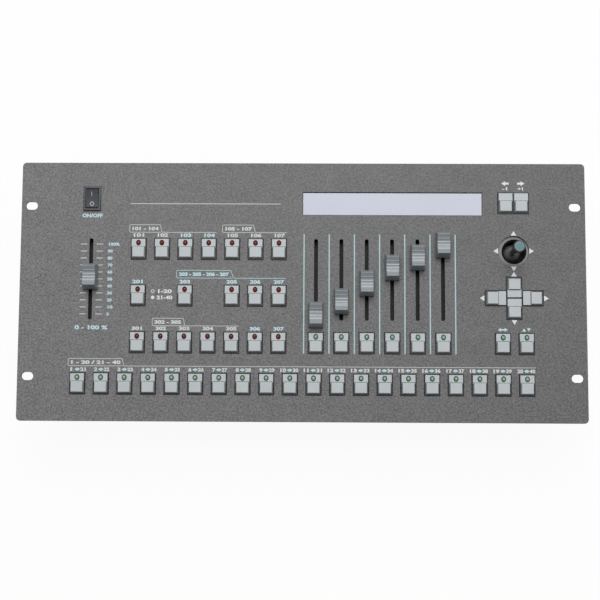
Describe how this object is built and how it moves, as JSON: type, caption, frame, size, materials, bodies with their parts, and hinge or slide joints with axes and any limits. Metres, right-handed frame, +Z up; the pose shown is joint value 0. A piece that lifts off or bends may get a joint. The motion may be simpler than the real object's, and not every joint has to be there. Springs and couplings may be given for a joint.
{
  "type": "lighting control console",
  "caption": "Rack-width lighting console: dark panel of hinged keys with lamps, slide faders, display, joystick and power rocker on a shallow steel case.",
  "frame": {"origin": "on the standing surface, under the centre of the panel", "axes": "+X to the operator's right along the panel, +Y to the panel's far edge with the display, +Z up out of the panel's face"},
  "size_m": [0.4826, 0.2214, 0.1095],
  "materials": {
    "black_plastic": "matt moulded",
    "board_green": "solder mask",
    "case_coat": "matt powder coat",
    "fader_plastic": "satin moulded",
    "gaiter": "matt",
    "key_plastic": "satin moulded",
    "module_board": "solder mask",
    "nickel": "plated",
    "panel_coat": "fine textured powder coat",
    "ring_plastic": "satin moulded",
    "steel": "plated",
    "window_plastic": "clear gloss"
  },
  "bodies": {
    "console": {"front_panel": "panel_coat", "case_tray": "case_coat", "key_board": "black_plastic", "fader_bank": "steel", "master_fader_body": "steel", "display_window": "window_plastic", "display_module": "module_board", "joystick_ring": "ring_plastic", "joystick_base": "gaiter", "switch_housing": "black_plastic", "main_board": "board_green", "mains_transformer": "steel", "mains_inlet": "black_plastic", "data_socket": "nickel"},
    "joystick_yoke": {"joystick_yoke": "steel"},
    "joystick_stick": {"joystick_stick": "gaiter", "joystick_knob": "black_plastic"},
    "power_rocker": {"power_rocker": "black_plastic"},
    "axis_key_left": {"axis_key_left": "key_plastic"},
    "axis_key_right": {"axis_key_right": "key_plastic"},
    "cursor_key_down": {"cursor_key_down": "key_plastic"},
    "cursor_key_left": {"cursor_key_left": "key_plastic"},
    "cursor_key_right": {"cursor_key_right": "key_plastic"},
    "cursor_key_up": {"cursor_key_up": "key_plastic"},
    "flash_key_1": {"flash_key_1": "key_plastic"},
    "flash_key_2": {"flash_key_2": "key_plastic"},
    "flash_key_3": {"flash_key_3": "key_plastic"},
    "flash_key_4": {"flash_key_4": "key_plastic"},
    "flash_key_5": {"flash_key_5": "key_plastic"},
    "flash_key_6": {"flash_key_6": "key_plastic"},
    "function_key_11": {"function_key_11": "key_plastic"},
    "function_key_12": {"function_key_12": "key_plastic"},
    "function_key_13": {"function_key_13": "key_plastic"},
    "function_key_14": {"function_key_14": "key_plastic"},
    "function_key_15": {"function_key_15": "key_plastic"},
    "function_key_16": {"function_key_16": "key_plastic"},
    "function_key_17": {"function_key_17": "key_plastic"},
    "function_key_21": {"function_key_21": "key_plastic"},
    "function_key_23": {"function_key_23": "key_plastic"},
    "function_key_25": {"function_key_25": "key_plastic"},
    "function_key_26": {"function_key_26": "key_plastic"},
    "function_key_27": {"function_key_27": "key_plastic"},
    "function_key_31": {"function_key_31": "key_plastic"},
    "function_key_32": {"function_key_32": "key_plastic"},
    "function_key_33": {"function_key_33": "key_plastic"},
    "function_key_34": {"function_key_34": "key_plastic"},
    "function_key_35": {"function_key_35": "key_plastic"},
    "function_key_36": {"function_key_36": "key_plastic"},
    "function_key_37": {"function_key_37": "key_plastic"},
    "page_key_left": {"page_key_left": "key_plastic"},
    "page_key_right": {"page_key_right": "key_plastic"},
    "low_keys_left": {"low_keys_left": "key_plastic"},
    "low_keys_right": {"low_keys_right": "key_plastic"},
    "master_fader_cap": {"master_fader_cap": "fader_plastic"},
    "fader_cap_1": {"fader_cap_1": "fader_plastic"},
    "fader_cap_2": {"fader_cap_2": "fader_plastic"},
    "fader_cap_3": {"fader_cap_3": "fader_plastic"},
    "fader_cap_4": {"fader_cap_4": "fader_plastic"},
    "fader_cap_5": {"fader_cap_5": "fader_plastic"},
    "fader_cap_6": {"fader_cap_6": "fader_plastic"}
  },
  "joints": [
    {"name": "master_fader_cap_slide", "type": "slide", "parent": "console", "child": "master_fader_cap", "axis": [0, 1, 0], "range_m": [-0.032, 0.028]},
    {"name": "fader_cap_1_slide", "type": "slide", "parent": "console", "child": "fader_cap_1", "axis": [0, 1, 0], "range_m": [0, 0.06]},
    {"name": "fader_cap_2_slide", "type": "slide", "parent": "console", "child": "fader_cap_2", "axis": [0, 1, 0], "range_m": [-0.0115, 0.0485]},
    {"name": "fader_cap_3_slide", "type": "slide", "parent": "console", "child": "fader_cap_3", "axis": [0, 1, 0], "range_m": [-0.027, 0.033]},
    {"name": "fader_cap_4_slide", "type": "slide", "parent": "console", "child": "fader_cap_4", "axis": [0, 1, 0], "range_m": [-0.0405, 0.0195]},
    {"name": "fader_cap_5_slide", "type": "slide", "parent": "console", "child": "fader_cap_5", "axis": [0, 1, 0], "range_m": [-0.0492, 0.0108]},
    {"name": "fader_cap_6_slide", "type": "slide", "parent": "console", "child": "fader_cap_6", "axis": [0, 1, 0], "range_m": [-0.06, 0]},
    {"name": "axis_key_left_press", "type": "hinge", "parent": "console", "child": "axis_key_left", "pos_m": [0.17, -0.0356, 0.0812], "axis": [1, 0, 0], "range_deg": [0, 4], "stiffness_Nm_per_rad": 0.12, "springref_deg": -9.74},
    {"name": "axis_key_right_press", "type": "hinge", "parent": "console", "child": "axis_key_right", "pos_m": [0.19, -0.0356, 0.0812], "axis": [1, 0, 0], "range_deg": [0, 4], "stiffness_Nm_per_rad": 0.12, "springref_deg": -9.74},
    {"name": "cursor_key_down_press", "type": "hinge", "parent": "console", "child": "cursor_key_down", "pos_m": [0.18, -0.0058, 0.0812], "axis": [1, 0, 0], "range_deg": [0, 4], "stiffness_Nm_per_rad": 0.12, "springref_deg": -9.74},
    {"name": "cursor_key_left_press", "type": "hinge", "parent": "console", "child": "cursor_key_left", "pos_m": [0.1727, -0.0051, 0.0812], "axis": [0, -1, 0], "range_deg": [0, 4], "stiffness_Nm_per_rad": 0.12, "springref_deg": -9.74},
    {"name": "cursor_key_right_press", "type": "hinge", "parent": "console", "child": "cursor_key_right", "pos_m": [0.1873, -0.0051, 0.0812], "axis": [0, 1, 0], "range_deg": [0, 4], "stiffness_Nm_per_rad": 0.12, "springref_deg": -9.74},
    {"name": "cursor_key_up_press", "type": "hinge", "parent": "console", "child": "cursor_key_up", "pos_m": [0.18, -0.0044, 0.0812], "axis": [-1, 0, 0], "range_deg": [0, 4], "stiffness_Nm_per_rad": 0.12, "springref_deg": -9.74},
    {"name": "flash_key_1_press", "type": "hinge", "parent": "console", "child": "flash_key_1", "pos_m": [0.0117, -0.0356, 0.0812], "axis": [1, 0, 0], "range_deg": [0, 4], "stiffness_Nm_per_rad": 0.12, "springref_deg": -9.74},
    {"name": "flash_key_2_press", "type": "hinge", "parent": "console", "child": "flash_key_2", "pos_m": [0.0333, -0.0356, 0.0812], "axis": [1, 0, 0], "range_deg": [0, 4], "stiffness_Nm_per_rad": 0.12, "springref_deg": -9.74},
    {"name": "flash_key_3_press", "type": "hinge", "parent": "console", "child": "flash_key_3", "pos_m": [0.0549, -0.0356, 0.0812], "axis": [1, 0, 0], "range_deg": [0, 4], "stiffness_Nm_per_rad": 0.12, "springref_deg": -9.74},
    {"name": "flash_key_4_press", "type": "hinge", "parent": "console", "child": "flash_key_4", "pos_m": [0.0765, -0.0356, 0.0812], "axis": [1, 0, 0], "range_deg": [0, 4], "stiffness_Nm_per_rad": 0.12, "springref_deg": -9.74},
    {"name": "flash_key_5_press", "type": "hinge", "parent": "console", "child": "flash_key_5", "pos_m": [0.0981, -0.0356, 0.0812], "axis": [1, 0, 0], "range_deg": [0, 4], "stiffness_Nm_per_rad": 0.12, "springref_deg": -9.74},
    {"name": "flash_key_6_press", "type": "hinge", "parent": "console", "child": "flash_key_6", "pos_m": [0.1197, -0.0356, 0.0812], "axis": [1, 0, 0], "range_deg": [0, 4], "stiffness_Nm_per_rad": 0.12, "springref_deg": -9.74},
    {"name": "function_key_11_press", "type": "hinge", "parent": "console", "child": "function_key_11", "pos_m": [-0.14, 0.0444, 0.0812], "axis": [1, 0, 0], "range_deg": [0, 4], "stiffness_Nm_per_rad": 0.12, "springref_deg": -9.74},
    {"name": "function_key_12_press", "type": "hinge", "parent": "console", "child": "function_key_12", "pos_m": [-0.12, 0.0444, 0.0812], "axis": [1, 0, 0], "range_deg": [0, 4], "stiffness_Nm_per_rad": 0.12, "springref_deg": -9.74},
    {"name": "function_key_13_press", "type": "hinge", "parent": "console", "child": "function_key_13", "pos_m": [-0.1, 0.0444, 0.0812], "axis": [1, 0, 0], "range_deg": [0, 4], "stiffness_Nm_per_rad": 0.12, "springref_deg": -9.74},
    {"name": "function_key_14_press", "type": "hinge", "parent": "console", "child": "function_key_14", "pos_m": [-0.08, 0.0444, 0.0812], "axis": [1, 0, 0], "range_deg": [0, 4], "stiffness_Nm_per_rad": 0.12, "springref_deg": -9.74},
    {"name": "function_key_15_press", "type": "hinge", "parent": "console", "child": "function_key_15", "pos_m": [-0.06, 0.0444, 0.0812], "axis": [1, 0, 0], "range_deg": [0, 4], "stiffness_Nm_per_rad": 0.12, "springref_deg": -9.74},
    {"name": "function_key_16_press", "type": "hinge", "parent": "console", "child": "function_key_16", "pos_m": [-0.04, 0.0444, 0.0812], "axis": [1, 0, 0], "range_deg": [0, 4], "stiffness_Nm_per_rad": 0.12, "springref_deg": -9.74},
    {"name": "function_key_17_press", "type": "hinge", "parent": "console", "child": "function_key_17", "pos_m": [-0.02, 0.0444, 0.0812], "axis": [1, 0, 0], "range_deg": [0, 4], "stiffness_Nm_per_rad": 0.12, "springref_deg": -9.74},
    {"name": "function_key_21_press", "type": "hinge", "parent": "console", "child": "function_key_21", "pos_m": [-0.14, 0.0044, 0.0812], "axis": [1, 0, 0], "range_deg": [0, 4], "stiffness_Nm_per_rad": 0.12, "springref_deg": -9.74},
    {"name": "function_key_23_press", "type": "hinge", "parent": "console", "child": "function_key_23", "pos_m": [-0.1, 0.0044, 0.0812], "axis": [1, 0, 0], "range_deg": [0, 4], "stiffness_Nm_per_rad": 0.12, "springref_deg": -9.74},
    {"name": "function_key_25_press", "type": "hinge", "parent": "console", "child": "function_key_25", "pos_m": [-0.06, 0.0044, 0.0812], "axis": [1, 0, 0], "range_deg": [0, 4], "stiffness_Nm_per_rad": 0.12, "springref_deg": -9.74},
    {"name": "function_key_26_press", "type": "hinge", "parent": "console", "child": "function_key_26", "pos_m": [-0.04, 0.0044, 0.0812], "axis": [1, 0, 0], "range_deg": [0, 4], "stiffness_Nm_per_rad": 0.12, "springref_deg": -9.74},
    {"name": "function_key_27_press", "type": "hinge", "parent": "console", "child": "function_key_27", "pos_m": [-0.02, 0.0044, 0.0812], "axis": [1, 0, 0], "range_deg": [0, 4], "stiffness_Nm_per_rad": 0.12, "springref_deg": -9.74},
    {"name": "function_key_31_press", "type": "hinge", "parent": "console", "child": "function_key_31", "pos_m": [-0.14, -0.0356, 0.0812], "axis": [1, 0, 0], "range_deg": [0, 4], "stiffness_Nm_per_rad": 0.12, "springref_deg": -9.74},
    {"name": "function_key_32_press", "type": "hinge", "parent": "console", "child": "function_key_32", "pos_m": [-0.12, -0.0356, 0.0812], "axis": [1, 0, 0], "range_deg": [0, 4], "stiffness_Nm_per_rad": 0.12, "springref_deg": -9.74},
    {"name": "function_key_33_press", "type": "hinge", "parent": "console", "child": "function_key_33", "pos_m": [-0.1, -0.0356, 0.0812], "axis": [1, 0, 0], "range_deg": [0, 4], "stiffness_Nm_per_rad": 0.12, "springref_deg": -9.74},
    {"name": "function_key_34_press", "type": "hinge", "parent": "console", "child": "function_key_34", "pos_m": [-0.08, -0.0356, 0.0812], "axis": [1, 0, 0], "range_deg": [0, 4], "stiffness_Nm_per_rad": 0.12, "springref_deg": -9.74},
    {"name": "function_key_35_press", "type": "hinge", "parent": "console", "child": "function_key_35", "pos_m": [-0.06, -0.0356, 0.0812], "axis": [1, 0, 0], "range_deg": [0, 4], "stiffness_Nm_per_rad": 0.12, "springref_deg": -9.74},
    {"name": "function_key_36_press", "type": "hinge", "parent": "console", "child": "function_key_36", "pos_m": [-0.04, -0.0356, 0.0812], "axis": [1, 0, 0], "range_deg": [0, 4], "stiffness_Nm_per_rad": 0.12, "springref_deg": -9.74},
    {"name": "function_key_37_press", "type": "hinge", "parent": "console", "child": "function_key_37", "pos_m": [-0.02, -0.0356, 0.0812], "axis": [1, 0, 0], "range_deg": [0, 4], "stiffness_Nm_per_rad": 0.12, "springref_deg": -9.74},
    {"name": "page_key_left_press", "type": "hinge", "parent": "console", "child": "page_key_left", "pos_m": [0.1734, 0.0848, 0.0812], "axis": [1, 0, 0], "range_deg": [0, 4], "stiffness_Nm_per_rad": 0.12, "springref_deg": -9.74},
    {"name": "page_key_right_press", "type": "hinge", "parent": "console", "child": "page_key_right", "pos_m": [0.1866, 0.0848, 0.0812], "axis": [1, 0, 0], "range_deg": [0, 4], "stiffness_Nm_per_rad": 0.12, "springref_deg": -9.74},
    {"name": "low_keys_left_press", "type": "hinge", "parent": "console", "child": "low_keys_left", "pos_m": [-0.1, -0.0706, 0.0812], "axis": [1, 0, 0], "range_deg": [0, 4], "stiffness_Nm_per_rad": 1.2, "springref_deg": -9.74},
    {"name": "low_keys_right_press", "type": "hinge", "parent": "console", "child": "low_keys_right", "pos_m": [0.1, -0.0706, 0.0812], "axis": [1, 0, 0], "range_deg": [0, 4], "stiffness_Nm_per_rad": 1.2, "springref_deg": -9.74},
    {"name": "power_rocker_tilt", "type": "hinge", "parent": "console", "child": "power_rocker", "pos_m": [-0.1806, 0.0794, 0.079], "axis": [-1, 0, 0], "range_deg": [0, 18]},
    {"name": "joystick_tilt_far_near", "type": "hinge", "parent": "console", "child": "joystick_yoke", "pos_m": [0.18, 0.0353, 0.06308], "axis": [1, 0, 0], "range_deg": [-15, 15], "stiffness_Nm_per_rad": 0.03},
    {"name": "joystick_tilt_left_right", "type": "hinge", "parent": "joystick_yoke", "child": "joystick_stick", "pos_m": [0.18, 0.0353, 0.06308], "axis": [0, 1, 0], "range_deg": [-15, 15], "stiffness_Nm_per_rad": 0.03}
  ]
}
